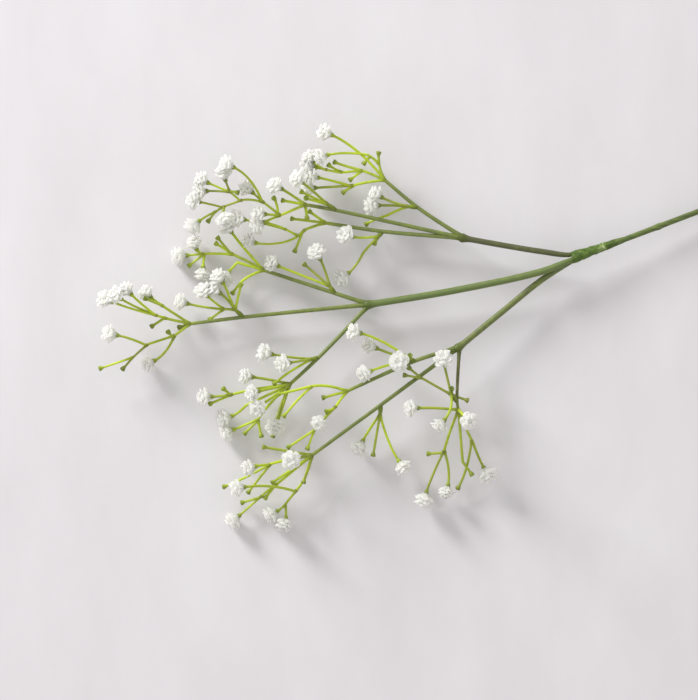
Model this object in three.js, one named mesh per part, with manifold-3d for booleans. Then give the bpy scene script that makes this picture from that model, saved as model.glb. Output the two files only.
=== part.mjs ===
// An artificial gypsophila (baby's breath) stem, lying on a table: a plastic-coated main stem, three moulded
// branches bound to it with florist's tape, and white florets pushed onto the cups at the ends of the twigs.
// Millimetres, +Z up. The layout is measured on a sheet seen from above: "across" runs to the right from the
// sheet's left edge, "down" runs from its far edge towards the viewer, and "height" is above the table.
import * as THREE from "three";
import { mergeVertices } from "three/addons/utils/BufferGeometryUtils.js";
import Module from "manifold-3d";

const wasm = await Module();
wasm.setup();

// ---- Driving dimensions -------------------------------------------------------------------------

const STEM_RADIUS = 1.5;
const STEM_SIDES = 8;
const STEM_ROWS = 13;
const STALK_RADIUS = 1.5; // the moulded branch between the tape and its fork
const FORK_RADIUS = 1.85; // the knob at that fork
const STALK_ROOT_RADIUS = 0.8; // where it is slimmed to go under the tape
const STALK_SWELL = 14; // the stretch outside the tape over which it reaches its full radius
const STALK_ROWS = 4;
const PRONG_RADIUS = 1.1; // each of a branch's three prongs, at the fork
const PRONG_TIP_RADIUS = 0.9;
const PRONG_ROWS = 5;
const PRONG_SIDES = 6;
const STUB_RADIUS = 1.35; // the thick base of a side spray, where it is widest
const STUB_WIDEST = 0.4; // the share of its length at which that is
const TWIG_RADII = [0.75, 0.66, 0.6, 0.56]; // by how many forks lie between the twig and its prong
const CUP_RADIUS = 1.2; // the flared cup that ends every twig
const CUP_LENGTH = 2.4;
const NECK_SHARE = 0.4; // a short twig keeps this share of its length before its cup starts to flare
const TWIG_SIDES = 3;
const ROOT_SINK = 1.2; // how deep a twig's root is sunk in what it grows from
const ROOT_STAGGER = 0.23; // how much deeper each next twig of a fork is rooted, so no two roots coincide
const ROOT_SHARE = 0.8; // a root is slimmer than its twig, and the knuckle at a fork thicker
const KNUCKLE_SHARE = 1.15;
const SPRING = 0.42; // share of a twig's length over which it swings to its end direction
const LONG_TWIG = 9; // a twig longer than this has a bend in its rod between root and end
const NEARLY_UPRIGHT = 0.9; // a rod steeper than this sine takes its section's level from +X

const FLORET_RADIUS = 4.8;
const FLORET_THROAT = 1.8; // from the floret's seat to the middle of its outer petals
const OUTER_LIFT = 1.5; // how far the outer petals' tips stand over their middle
const INNER_RADIUS = 3.7;
const INNER_LIFT = 2.5;
const INNER_RISE = 1.6; // how far the inner petals' middle stands over the outer petals' middle
const INNER_THROAT = 2.3;
const INNER_TURN = 0.7; // radians by which the inner petals are turned from the outer ones
const PETALS = 5;
const PETAL_THICKNESS = 0.75;
const VALLEY_SHARE = 0.72; // how far out the notch between two petals reaches, as a share of the tips' reach
const FLORET_GAP = 0.3; // between a cup and the floret seated on it
const FLORET_SIZE_SPREAD = 0.1;

const SOCKET_GAP = 0.3; // between the tape and the stems that it holds
const TAPE_RADII = [2.25, 2.35, 2.6, 2.7, 2.75]; // from the main stem's side to the branches' side
const TAPE_WRAPS = 7;
const TAPE_STEP = 0.2; // how far each wrap stands over the next
const TAPE_LAP = 0.93; // the share of each wrap's width over which it rises before it drops to the next
const TAPE_SKIN = 1; // how far the sockets are cut past the tape's ends
const TAPE_SIDES = 10;
const ROOT_CIRCLE = 1.15; // the three branch roots stand on this circle about the tape's axis
const SOCKET_DEPTH = 12;

// ---- Layout -------------------------------------------------------------------------------------

const place = (across, down, height) => new THREE.Vector3(across, -down, height);

// A twig ends in a floret on its cup, in a bare cup, or in a fork with more twigs. "turn" is how many degrees
// its end swings to the left of the straight line from its root, and "tilt" how many it ends above level.
const floret = (across, down, height, turn = 0, tilt = null) => (
  { kind: "floret", end: place(across, down, height), turn, tilt, twigs: [] });
const cup = (across, down, height, turn = 0, tilt = null) => (
  { kind: "cup", end: place(across, down, height), turn, tilt, twigs: [] });
const fork = (across, down, height, turn, ...twigs) => (
  { kind: "fork", end: place(across, down, height), turn, tilt: null, twigs });

const TAPE_END = place(286.5, 128.8, 10); // where the branches leave the tape
const TAPE_START = place(312.5, 119.6, 8.6); // where the main stem goes in

const MAIN_STEM_ROUTE = [
  place(330, 113, 7.3), place(348.5, 106, 6), place(380, 94.5, 3.7), place(410, 85.5, 2),
  place(432, 79.5, 1.35), place(466, 71.5, 1.35), place(500, 63.5, 1.35)];

const BRANCHES = {
  upper: {
    stalk: [place(272, 125.7, 10.8), place(255, 123, 11), place(230, 118.5, 11)],
    prongs: [
      {
        sideRoot: place(209, 103.5, 11.5),
        tip: place(191.5, 89, 12),
        side: fork(203, 102.8, 12.6, 0,
          floret(190, 98, 14.5, -10, 5),
          floret(188.5, 102.5, 11.3, 5, 20),
          fork(193.5, 107.5, 9.5, 5,
            cup(182.5, 112.2, 7.7, 10))),
        end: [
          floret(165, 67, 16.5, 18, 10),
          fork(189.5, 80.5, 13, -15,
            cup(189.5, 75.5, 14, -10),
            fork(184, 77.2, 13.7, 10,
              floret(162.8, 77.6, 16.2, 14, 5),
              cup(181.5, 82, 12.7))),
          fork(180, 84.6, 12.5, 5,
            cup(166.5, 80.5, 12.8, -5),
            fork(170, 86, 12, 0,
              fork(162.5, 84.5, 12, 0,
                floret(156.3, 80.2, 11.8, -15, 15),
                floret(156.6, 83.5, 10.8, 10, 8)),
              cup(163.8, 81.7, 10.5, -10)),
            cup(174.5, 90, 11)),
          fork(175.5, 92.8, 10.5, 8,
            floret(158, 88.3, 11.5, 5, 15),
            cup(171, 96.3, 9),
            floret(156.5, 93.6, 8.6, 0, 0))],
      },
      {
        sideRoot: place(168, 105, 14.5),
        tip: place(151.5, 102, 17),
        side: fork(163, 101.5, 15.5, 0,
          floret(150.6, 90.8, 19.5, 5, 40),
          cup(150, 95.5, 18),
          cup(152.5, 99, 21, 0, 40)),
        end: [
          floret(140, 94, 19, 5, 20),
          cup(140.5, 100, 17.5),
          cup(153.5, 109.5, 14),
          fork(139, 108, 16, 0,
            cup(136.5, 98.5, 18.5, 25, 30),
            floret(131.5, 107, 18.5, 0, 20),
            floret(131, 111.5, 15, 5, 10),
            fork(131, 100.5, 17.5, 0,
              floret(116, 83.5, 25.5, 28, 10),
              floret(125.5, 95.5, 16.6, 0, 15),
              fork(120, 100.2, 18, 20,
                fork(114, 95.2, 19.5, 0,
                  cup(119.5, 96.5, 21),
                  floret(112.5, 89, 22, -5, 20),
                  floret(103, 91, 20, 0, 10),
                  floret(102.3, 95.6, 20, 5, 10)),
                fork(111, 103.5, 17, 0,
                  floret(98.8, 100.8, 18, 5, 35),
                  floret(112, 107, 20.5, 15, 25),
                  fork(107, 106.5, 15.5, 10,
                    cup(103.5, 111, 14),
                    floret(98.5, 111, 12.5, 10, 0))))))],
      },
      {
        sideRoot: place(191.5, 115.5, 11),
        tip: place(161.5, 111, 10),
        side: fork(188.5, 118.8, 9.5, 0,
          floret(175.5, 118, 13, -15, 35),
          fork(181.5, 126.5, 8.5, 5,
            floret(173.5, 137, 7, -15, 5)),
          cup(187, 122, 7.5)),
        end: [
          cup(154, 105, 11),
          cup(145, 109, 10.5),
          fork(151.5, 115, 9.7, 5,
            cup(147, 126, 7),
            fork(148, 118.5, 9.7, 0,
              fork(140, 121.2, 9.5, -10,
                floret(126.8, 121, 11.5, -15, 5)),
              fork(142, 114, 11, 0,
                cup(132, 110.8, 12, 5),
                floret(121.1, 109.5, 12, 5, 25))))],
      },
    ],
  },
  middle: {
    stalk: [place(272.5, 135.2, 11.4), place(228, 145, 10.4), place(182.5, 152.5, 9.2)],
    prongs: [
      {
        sideRoot: place(167.5, 146.5, 9),
        tip: place(130.5, 134.5, 7),
        side: fork(164, 142, 10, -10,
          floret(159.5, 128.5, 12.5, 10, 25),
          cup(151.5, 131.5, 12),
          floret(138, 132.5, 10.5, 0, 15)),
        end: [
          fork(118.5, 131, 7.5, 0,
            floret(113.5, 136.5, 7.8, 5, 25)),
          fork(115, 126.5, 6.5, 5,
            cup(108, 118, 7.5),
            cup(107, 121, 6),
            fork(100.5, 126.7, 5.5, 5,
              floret(97.5, 123.5, 6, -20, 10),
              floret(92, 127.5, 4.6, 0, -5),
              floret(101, 134, 4.8, 0, 0),
              cup(93.5, 133, 4))),
          floret(114.9, 115, 9, -5, 30),
          fork(119.3, 142, 7, 20,
            cup(115.5, 147, 6))],
      },
      {
        sideRoot: place(121.5, 158.5, 8.5),
        tip: place(93.5, 162, 10.5),
        side: fork(116.5, 154, 10, 0,
          fork(114.5, 148.5, 12, 0,
            floret(110.5, 140.5, 14.5, 15, 15)),
          floret(109, 146, 13, 15, 20),
          cup(120.5, 141.5, 13.5),
          fork(110.5, 154.5, 9, 5,
            floret(92.5, 151.5, 9, -5, 5),
            floret(103, 147.3, 12, -10, 35),
            cup(104, 160, 5.5))),
        end: [
          fork(82, 159, 14, 0,
            cup(75, 163.5, 12.5),
            fork(77.5, 157.5, 16.5, 0,
              floret(65, 146.5, 21, -5, 10),
              floret(60, 149, 22, -10, 40),
              floret(55.3, 150.6, 20, -5, 5))),
          fork(80.5, 152.5, 16, 0,
            cup(72, 149, 19),
            floret(74.5, 148, 14.5, -5, 0)),
          fork(86, 168.5, 10.5, 0,
            cup(83.5, 165.5, 14.5, 0, 30),
            floret(75.8, 180.8, 5.5, -25, 5),
            fork(72.5, 172.5, 12.5, 0,
              floret(57.5, 167.5, 18, 10, 0),
              fork(65.5, 179.5, 12.5, 5,
                cup(60.5, 185, 10.5),
                cup(49, 184.5, 13)))),
          cup(88.5, 163.8, 9)],
      },
      {
        sideRoot: place(159, 179, 9),
        tip: place(144, 193, 9.5),
        side: fork(155, 179.7, 10.5, 5,
          floret(135, 177, 16, -5, 10),
          floret(144, 181.5, 20, 0, 30),
          cup(136.5, 192.5, 13, 10)),
        end: [
          floret(125.3, 188.5, 12.5, 5, 15),
          fork(115, 197.5, 9.5, 5,
            cup(111, 194, 11.5),
            floret(104.5, 198.5, 9.5, -5, 5),
            cup(104, 202.3, 6.5)),
          fork(122.5, 203, 8, 0,
            floret(114.5, 208.5, 6, -20, 5)),
          floret(130.8, 202.5, 20, 0, 45),
          floret(128.5, 195.8, 21.5, 0, 30),
          fork(128, 211, 6.5, 10,
            cup(121.5, 217.5, 6),
            floret(115.5, 215.5, 5.5, 0, 0),
            cup(130.5, 219, 5)),
          cup(136, 219, 5),
          floret(138, 211, 11, 10, 40)],
      },
    ],
  },
  lower: {
    stalk: [place(272.5, 138.9, 8.5), place(250, 157, 10), place(228, 175, 11.5)],
    prongs: [
      {
        sideRoot: place(207.5, 180.5, 15.5),
        tip: place(172.5, 196, 20.5),
        side: fork(204, 179.3, 17.5, 0,
          floret(200.5, 180.5, 22, 0, 70),
          floret(187.5, 173.8, 17.5, -5, 5),
          floret(179.5, 166.5, 23, 15, 15),
          floret(184.5, 185.8, 21.5, 5, 25),
          cup(205, 177.5, 21)),
        end: [
          fork(155, 193.3, 24.5, 20,
            cup(138.5, 197.3, 25.5),
            fork(147.5, 201.5, 24.5, 5,
              cup(141.5, 208.5, 23.5))),
          cup(161, 199, 22),
          fork(167.5, 204, 20.5, 5,
            cup(162.5, 206, 21.5),
            floret(160.5, 210.5, 23.5, 0, 60),
            fork(156.5, 215.5, 19.5, 0,
              cup(143.5, 224, 21),
              cup(153.5, 225, 18)))],
      },
      {
        sideRoot: place(190.5, 202.5, 11.5),
        tip: place(155, 228.5, 11),
        side: fork(190, 208.5, 10, 0,
          floret(181, 221.5, 6.5, 5, 5),
          cup(186.5, 228.5, 8),
          floret(200, 231.5, 8.5, 12, 5)),
        end: [
          cup(131, 223.5, 14.5),
          fork(134, 232.5, 13, 5,
            floret(127, 233.3, 18, 5, 10),
            cup(111, 244, 7, -5),
            cup(123.5, 247, 9)),
          cup(135.5, 242, 10.5),
          fork(137.5, 243, 7.5, 0,
            cup(132, 250, 5.5),
            fork(130, 249, 6, 5,
              cup(120, 252, 5),
              floret(118.5, 259, 4.6, 0, -5))),
          cup(151.5, 242, 9.5),
          fork(147.5, 246, 9, -20,
            floret(121.5, 243.5, 28, 15, 10),
            fork(141.7, 253.5, 6.5, 0,
              floret(137.5, 256.5, 5.5, -10, 0),
              floret(142.5, 260.5, 5.5, -15, 30))),
          floret(147, 229.5, 24, 0, 65)],
      },
      {
        sideRoot: place(228.7, 201, 15),
        tip: place(229.5, 206, 17.5),
        side: fork(225, 196.5, 14, 10,
          floret(222, 181.5, 17.5, 0, 50),
          fork(210, 188.5, 14.5, 0,
            cup(204, 183.5, 15.5),
            cup(201.5, 187.5, 14)),
          cup(226, 194, 17, 0, 60),
          floret(221.5, 210.5, 26, -25, 5),
          cup(234.5, 200.5, 14.5)),
        end: [
          fork(222, 226.5, 11.5, 5,
            cup(213.5, 227.2, 10),
            floret(213, 247.5, 8, 5, 5),
            floret(224, 243.8, 7.4, -20, 10)),
          fork(231.5, 231, 12, 0,
            cup(236.5, 238, 10)),
          fork(236.5, 221, 14, 5,
            floret(242.7, 235, 8, 5, 5),
            cup(229, 245, 5, -15)),
          floret(208, 204, 24, 5, 10),
          floret(233.5, 209.5, 38, 0, 75)],
      },
    ],
  },
};

// ---- Solids -------------------------------------------------------------------------------------

const UP = new THREE.Vector3(0, 0, 1);

// What would dip below the table is pressed flat on it.
function settle(vertex) {
  return vertex.setZ(Math.max(vertex.z, 0));
}

function solidOf(geometry) {
  geometry.deleteAttribute("normal");
  geometry.deleteAttribute("uv");
  const merged = mergeVertices(geometry, 1e-4);
  return new wasm.Manifold(new wasm.Mesh({
    numProp: 3,
    vertProperties: merged.attributes.position.array,
    triVerts: new Uint32Array(merged.index.array),
  }));
}

function geometryOf(solid) {
  const mesh = solid.getMesh();
  const geometry = new THREE.BufferGeometry();
  geometry.setAttribute("position", new THREE.BufferAttribute(mesh.vertProperties, 3));
  geometry.setIndex(new THREE.BufferAttribute(mesh.triVerts, 1));
  geometry.computeVertexNormals();
  return geometry;
}

// Moves every vertex of a closed geometry by a formula, in place.
function reshape(geometry, formula) {
  const position = geometry.attributes.position;
  const vertex = new THREE.Vector3();
  for (let i = 0; i < position.count; i++) {
    vertex.fromBufferAttribute(position, i);
    position.setXYZ(i, ...settle(formula(vertex)).toArray());
  }
  return geometry;
}

// A bent, tapered rod along a curve. Each station is [share of the curve, radius there]. One flat of its
// section always faces straight down.
function rod(curve, stations, sides) {
  const rows = stations.length - 1;
  const cylinder = new THREE.CylinderGeometry(1, 1, 1, sides, rows, false, Math.PI / sides);
  const chord = curve.getPointAt(1).sub(curve.getPointAt(0)).normalize();
  const level = Math.abs(chord.z) < NEARLY_UPRIGHT ? UP : new THREE.Vector3(1, 0, 0);
  return solidOf(reshape(cylinder, (v) => {
    const [share, radius] = stations[Math.round((v.y + 0.5) * rows)];
    const along = curve.getTangentAt(share);
    const side = new THREE.Vector3().crossVectors(along, level).normalize();
    const over = new THREE.Vector3().crossVectors(side, along);
    return curve.getPointAt(share).addScaledVector(side, v.x * radius).addScaledVector(over, v.z * radius);
  }));
}

const evenStations = (rows, from, to) => (
  Array.from({ length: rows + 1 }, (_, i) => [i / rows, THREE.MathUtils.lerp(from, to, i / rows)]));

// The direction in which a twig ends: its straight line, swung by its turn and set to its tilt.
function endDirection(from, twig) {
  const chord = twig.end.clone().sub(from).normalize();
  const level = Math.hypot(chord.x, chord.y);
  const heading = Math.atan2(chord.y, chord.x) + THREE.MathUtils.degToRad(twig.turn);
  const tilt = twig.tilt === null ? Math.atan2(chord.z, level) : THREE.MathUtils.degToRad(twig.tilt);
  return new THREE.Vector3(
    Math.cos(heading) * Math.cos(tilt), Math.sin(heading) * Math.cos(tilt), Math.sin(tilt));
}

// A run is one unbroken rod: it starts in what it grows from and goes on through the first twig of each fork.
// "rank" is the twig's place among those that start at the same fork.
function startRun(from, parentDirection, depth, rank) {
  const root = from.clone().addScaledVector(parentDirection, -ROOT_SINK - rank * ROOT_STAGGER);
  return { path: new THREE.CurvePath(), from: root, stations: [[0, twigRadius(depth) * ROOT_SHARE]] };
}

const twigRadius = (depth) => TWIG_RADII[Math.min(depth, TWIG_RADII.length - 1)];

// Adds a twig to its run, with all that it carries: rods go to "solids", and seated florets to "seats".
function growTwig(twig, run, depth, solids, seats) {
  const { path, from, stations } = run;
  const direction = endDirection(from, twig);
  const length = twig.end.distanceTo(from);
  const rootDistance = path.curves.length ? path.getLength() : 0;
  path.add(new THREE.QuadraticBezierCurve3(
    from, twig.end.clone().addScaledVector(direction, -SPRING * length), twig.end));
  const endDistance = path.getLength();
  const radius = twigRadius(depth);
  if (length > LONG_TWIG) stations.push([(rootDistance + endDistance) / 2, radius]);
  if (twig.kind === "fork") {
    stations.push([endDistance, radius * KNUCKLE_SHARE]);
    const [onward, ...sideTwigs] = twig.twigs;
    growTwig(onward, { path, from: twig.end, stations }, depth + 1, solids, seats);
    sideTwigs.forEach((t, rank) => {
      growTwig(t, startRun(twig.end, direction, depth + 1, rank), depth + 1, solids, seats);
    });
    return;
  }
  const neck = Math.max(endDistance - CUP_LENGTH, rootDistance + NECK_SHARE * length);
  stations.push([neck, radius], [endDistance, CUP_RADIUS]);
  solids.push(rod(path, stations.map(([distance, r]) => [distance / endDistance, r]), TWIG_SIDES));
  if (twig.kind === "floret") seats.push({ seat: twig.end, direction });
}

function growBranch({ stalk, prongs }, rootAngle, seats) {
  const solids = [];
  const root = branchRoot(rootAngle);
  const stalkRoute = [root.inner, root.mouth, root.clear, ...stalk];
  const stalkCurve = new THREE.CatmullRomCurve3(stalkRoute, false, "centripetal");
  const outside = SOCKET_DEPTH / stalkCurve.getLength();
  const swollen = (SOCKET_DEPTH + STALK_SWELL) / stalkCurve.getLength();
  const swelling = [[0, STALK_ROOT_RADIUS], [outside, STALK_ROOT_RADIUS]];
  const full = evenStations(STALK_ROWS, STALK_RADIUS, STALK_RADIUS).map(([share, radius]) => (
    [THREE.MathUtils.lerp(swollen, 1, share), share < 1 ? radius : FORK_RADIUS]));
  solids.push(rod(stalkCurve, [...swelling, ...full], PRONG_SIDES));
  const forkPoint = stalk.at(-1);
  const stalkEnd = stalkCurve.getTangent(1);
  prongs.forEach(({ sideRoot, tip, side, end }, rank) => {
    const start = forkPoint.clone().addScaledVector(stalkEnd, -2 * ROOT_SINK - rank * ROOT_STAGGER);
    const curve = new THREE.CatmullRomCurve3([start, sideRoot, tip], false, "centripetal");
    solids.push(rod(curve, evenStations(PRONG_ROWS, PRONG_RADIUS, PRONG_TIP_RADIUS), PRONG_SIDES));
    const stub = new THREE.LineCurve3(sideRoot, side.end);
    const stubStations = [[0, STUB_RADIUS * ROOT_SHARE], [STUB_WIDEST, STUB_RADIUS], [1, TWIG_RADII[0]]];
    solids.push(rod(stub, stubStations, PRONG_SIDES));
    const stubDirection = stub.getTangent(1);
    side.twigs.forEach((t, i) => growTwig(t, startRun(side.end, stubDirection, 1, i), 1, solids, seats));
    const tipDirection = curve.getTangent(1);
    end.forEach((t, i) => growTwig(t, startRun(tip, tipDirection, 0, i), 0, solids, seats));
  });
  return solids.reduce((whole, solid) => whole.add(solid));
}

// ---- Tape binding and the stems in it -----------------------------------------------------------

const tapeAxis = TAPE_START.clone().sub(TAPE_END);
const tapeLength = tapeAxis.length();
tapeAxis.normalize();
const tapeSide = new THREE.Vector3().crossVectors(tapeAxis, UP).normalize();
const tapeOver = new THREE.Vector3().crossVectors(tapeSide, tapeAxis);

// A branch's root lies along the tape's axis, at one corner of a triangle in the tape's mouth.
function branchRoot(angle) {
  const radians = THREE.MathUtils.degToRad(angle);
  const mouth = TAPE_END.clone()
    .addScaledVector(tapeSide, Math.cos(radians) * ROOT_CIRCLE)
    .addScaledVector(tapeOver, Math.sin(radians) * ROOT_CIRCLE);
  const inner = mouth.clone().addScaledVector(tapeAxis, SOCKET_DEPTH - 2 * SOCKET_GAP);
  const clear = mouth.clone().addScaledVector(tapeAxis, -ROOT_CIRCLE);
  return { inner, mouth, clear };
}

// The angle of each branch's root about the tape's axis, as seen from the main stem, from the viewer's side.
const ROOT_ANGLES = { upper: 180, middle: 60, lower: -60 };

// What is cut from the tape for a stem of some radius, between two distances along the tape's axis.
function socket(mouth, from, to, radius) {
  const axis = new THREE.LineCurve3(
    mouth.clone().addScaledVector(tapeAxis, from), mouth.clone().addScaledVector(tapeAxis, to));
  const across = (radius + SOCKET_GAP) / Math.cos(Math.PI / STEM_SIDES);
  return rod(axis, evenStations(1, across, across), STEM_SIDES);
}

function tapeBinding() {
  const wrap = tapeLength / TAPE_WRAPS;
  const profile = [new THREE.Vector2(0, 0)];
  const radiusAt = (share) => {
    const step = share * (TAPE_RADII.length - 1);
    const i = Math.min(Math.floor(step), TAPE_RADII.length - 2);
    return THREE.MathUtils.lerp(TAPE_RADII[i], TAPE_RADII[i + 1], step - i);
  };
  for (let i = 0; i < TAPE_WRAPS; i++) {
    profile.push(new THREE.Vector2(radiusAt(i / TAPE_WRAPS), i * wrap));
    profile.push(new THREE.Vector2(radiusAt((i + 1) / TAPE_WRAPS) + TAPE_STEP, (i + TAPE_LAP) * wrap));
  }
  profile.push(new THREE.Vector2(TAPE_RADII.at(-1), tapeLength), new THREE.Vector2(0, tapeLength));
  const lathe = new THREE.LatheGeometry(profile, TAPE_SIDES);
  const stand = new THREE.Quaternion().setFromUnitVectors(
    new THREE.Vector3(0, 1, 0), tapeAxis.clone().negate());
  reshape(lathe, (v) => v.applyQuaternion(stand).add(TAPE_START));
  let binding = solidOf(lathe).subtract(socket(TAPE_START, -SOCKET_DEPTH, TAPE_SKIN, STEM_RADIUS));
  Object.values(ROOT_ANGLES).forEach((angle) => {
    const { mouth } = branchRoot(angle);
    binding = binding.subtract(socket(mouth, -TAPE_SKIN, SOCKET_DEPTH, STALK_ROOT_RADIUS));
  });
  return binding;
}

function mainStem() {
  const inner = TAPE_START.clone().addScaledVector(tapeAxis, -(SOCKET_DEPTH - SOCKET_GAP));
  const route = [inner, TAPE_START, ...MAIN_STEM_ROUTE];
  const curve = new THREE.CatmullRomCurve3(route, false, "centripetal");
  return rod(curve, evenStations(STEM_ROWS, STEM_RADIUS, STEM_RADIUS), STEM_SIDES);
}

// ---- Florets ------------------------------------------------------------------------------------

// A repeatable draw from 0 to 1 for the nth floret, so that no two sit quite alike.
const draw = (n, kind) => {
  const x = Math.sin(n * 12.9898 + kind * 78.233) * 43758.5453;
  return x - Math.floor(x);
};

// One ring of petals, pressed from a flat disc: it has a tip and a notch for each petal. Its underside runs
// down to a point, "throat" below its middle. "carry" puts each of its points in place.
function petalRing(radius, lift, throat, carry) {
  const points = 2 * PETALS;
  const disc = new THREE.CylinderGeometry(1, 1, 1, points, 1, false);
  return solidOf(reshape(disc, (v) => {
    const isRim = Math.hypot(v.x, v.z) > 0.5;
    const heading = Math.atan2(v.x, v.z);
    const isTip = Math.round((heading / (2 * Math.PI)) * points + points) % 2 === 0;
    const reach = isRim ? radius * (isTip ? 1 : VALLEY_SHARE) : 0;
    const rise = isRim ? lift * (isTip ? 1 : VALLEY_SHARE) : 0;
    const depth = isRim ? PETAL_THICKNESS : throat;
    return carry(new THREE.Vector3(
      Math.sin(heading) * reach, v.y > 0 ? rise : rise - depth, Math.cos(heading) * reach));
  }));
}

function floretSolid({ seat, direction }, n) {
  const axis = new THREE.Vector3(0, 1, 0);
  const size = 1 + FLORET_SIZE_SPREAD * (2 * draw(n, 1) - 1);
  const face = new THREE.Quaternion().setFromUnitVectors(axis, direction);
  const base = seat.clone().addScaledVector(direction, FLORET_GAP + FLORET_THROAT * size);
  const carry = (rise, turn) => (v) => (
    v.setY(v.y + rise).multiplyScalar(size).applyAxisAngle(axis, turn).applyQuaternion(face).add(base));
  const turn = draw(n, 2) * 2 * Math.PI;
  const outer = petalRing(FLORET_RADIUS, OUTER_LIFT, FLORET_THROAT, carry(0, turn));
  const inner = petalRing(INNER_RADIUS, INNER_LIFT, INNER_THROAT, carry(INNER_RISE, turn + INNER_TURN));
  return outer.add(inner);
}

// ---- The whole stem -----------------------------------------------------------------------------

const finish = (color, roughness) => new THREE.MeshStandardMaterial({ color, roughness, metalness: 0 });
const MATERIALS = {
  stem: finish("#66753f", 0.6),
  tape: finish("#5f8a3c", 0.85),
  branch: finish("#8fa53a", 0.5),
  floret: finish("#f4f4ee", 0.7),
};

const sprig = new THREE.Group();

function addPiece(name, solid, material) {
  const mesh = new THREE.Mesh(geometryOf(solid), material);
  mesh.name = name;
  sprig.add(mesh);
}

addPiece("main_stem", mainStem(), MATERIALS.stem);
addPiece("tape_binding", tapeBinding(), MATERIALS.tape);

const seats = [];
Object.entries(BRANCHES).forEach(([name, branch]) => {
  addPiece("branch_" + name, growBranch(branch, ROOT_ANGLES[name], seats), MATERIALS.branch);
});

// Florets that touch are one body, so each body of the joined florets is one piece, numbered from the tips.
const acrossOf = (solid) => (solid.boundingBox().min[0] + solid.boundingBox().max[0]) / 2;
seats.map(floretSolid)
  .reduce((all, solid) => all.add(solid))
  .decompose()
  .sort((a, b) => acrossOf(a) - acrossOf(b))
  .forEach((solid, i) => addPiece("floret_" + String(i + 1).padStart(2, "0"), solid, MATERIALS.floret));

// The origin is on the table, under the middle of the whole stem's outline.
const outline = new THREE.Box3().setFromObject(sprig);
sprig.position.copy(outline.getCenter(new THREE.Vector3()).negate()).setZ(0);

export default sprig;
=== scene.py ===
"""An artificial gypsophila (baby's breath) stem lying on a pale table, seen from above.

Every branch is a soft plastic moulding with bell-shaped cups at its twigs' ends, the florets are ruffled
layers of thin petals pressed onto those cups, and green crepe tape binds the branches to a coated main stem.
Places are measured in millimetres on a sheet seen from above: "across" runs right from its left edge, "down"
runs towards the viewer, and "height" is above the table.
"""
import math
from collections import namedtuple

import bmesh
import bpy
import numpy as np
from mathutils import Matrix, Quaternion, Vector, noise


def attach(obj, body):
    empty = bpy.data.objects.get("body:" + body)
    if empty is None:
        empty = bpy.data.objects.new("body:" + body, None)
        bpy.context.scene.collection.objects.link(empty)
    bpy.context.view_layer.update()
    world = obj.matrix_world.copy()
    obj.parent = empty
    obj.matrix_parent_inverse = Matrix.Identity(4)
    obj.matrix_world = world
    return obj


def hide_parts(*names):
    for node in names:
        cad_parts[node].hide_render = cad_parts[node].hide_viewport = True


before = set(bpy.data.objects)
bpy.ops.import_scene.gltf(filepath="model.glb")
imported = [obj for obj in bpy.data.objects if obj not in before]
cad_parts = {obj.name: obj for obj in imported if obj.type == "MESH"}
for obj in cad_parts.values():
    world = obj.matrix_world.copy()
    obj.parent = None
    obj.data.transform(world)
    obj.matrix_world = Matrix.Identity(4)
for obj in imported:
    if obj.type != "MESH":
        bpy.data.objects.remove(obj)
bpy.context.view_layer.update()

MM = 0.001

# ---- Driving dimensions, in millimetres --------------------------------------

ORIGIN_ACROSS = 273.918  # where the frame's origin lies on the sheet
ORIGIN_DOWN = 164.258

STEM_RADIUS = 1.42
STALK_RADII = {"upper": 1.45, "middle": 1.75, "lower": 1.55}
FORK_RADIUS = 2.5  # the knob at a branch's main fork
KNOB_LENGTH = 3
KNOB_SETBACK = 0.6  # how far short of the fork the knob is thickest
STALK_END = 0.78  # the stalk's end is rounded in to this share of the knob
STALK_ROOT_RADIUS = 1.15
STALK_SWELL = 9  # over this stretch outside the tape a stalk reaches its full radius
PRONG_TAPER = 0.8
PRONG_FLARE = 0.3  # how much thicker, as a share, a prong is where it leaves the knob
PRONG_FLARE_LENGTH = 2
STUB_RADIUS = 1.25  # the thick base of a side spray, where it is widest
STUB_WIDEST = 0.4  # the share of its length at which that is
STUB_ROOT = 0.8  # its root's radius, as a share of the widest
TWIG_RADII = (0.72, 0.66, 0.6, 0.56)  # by how many forks lie between the twig and its prong
ROOT_FLARE = 0.45  # how much thicker, as a share, a twig is where it grows out of a fork
FLARE_LENGTH = 0.9
ROOT_SINK = 1.2
SPRING = 0.42  # share of a twig's length over which it swings to its end direction
ROW_STEP = 0.7  # between the rings of points along a twig
TWIG_SIDES = 10
STEM_SIDES = 24
GREENING = 9  # the last stretch of a prong over which its olive turns to the twigs' yellow-green

CUP_LENGTH = 2.4
CUP_LAP = 0.3  # how far a twig runs on inside its cup
CUP_SIDES = 12

FLORET_THROAT = 1.8
FLORET_GAP = 0.3
FLORET_SIZE_SPREAD = 0.1
PETALS = 5
PETAL_POINTS = 10  # points along each petal's edge
PETAL_FILM = 0.5  # the thickness of a petal
FLORET_SIDES = 10

SOCKET_DEPTH = 12
ROOT_CIRCLE = 1.15  # the circle on which the three branches' roots lie, deep in the tape
MOUTH_CIRCLE = 1.75  # and at the tape's mouth, where they part
ROOT_ANGLES = {"upper": 180, "middle": 65, "lower": -32}
TAPE_FILM = 0.32  # how far the tape stands over the stems that it binds
TAPE_EDGE = 0.28  # how far the tape's edge stands over the turn below
TAPE_TURNS = 4.2
TAPE_WRINKLE = 0.22
TAPE_CREPE = 0.08
TAPE_SLANT = 0.16  # how far, in turns, a turn's edge runs ahead on one side
TAPE_WANDER = 0.35  # and how far it wanders
TAPE_EDGE_WIDTH = 0.1  # the share of a turn over which its edge rises
TAPE_EDGE_FALL = 0.6  # the lower, the longer the turn stays thick behind its edge
TAPE_CROWDING = 0.85  # below 1, the turns lie closer together towards the mouth
WRINKLE_PACE = (0.5, 1.5)  # how fast the wrinkles follow each other, along the tape and round it
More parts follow.
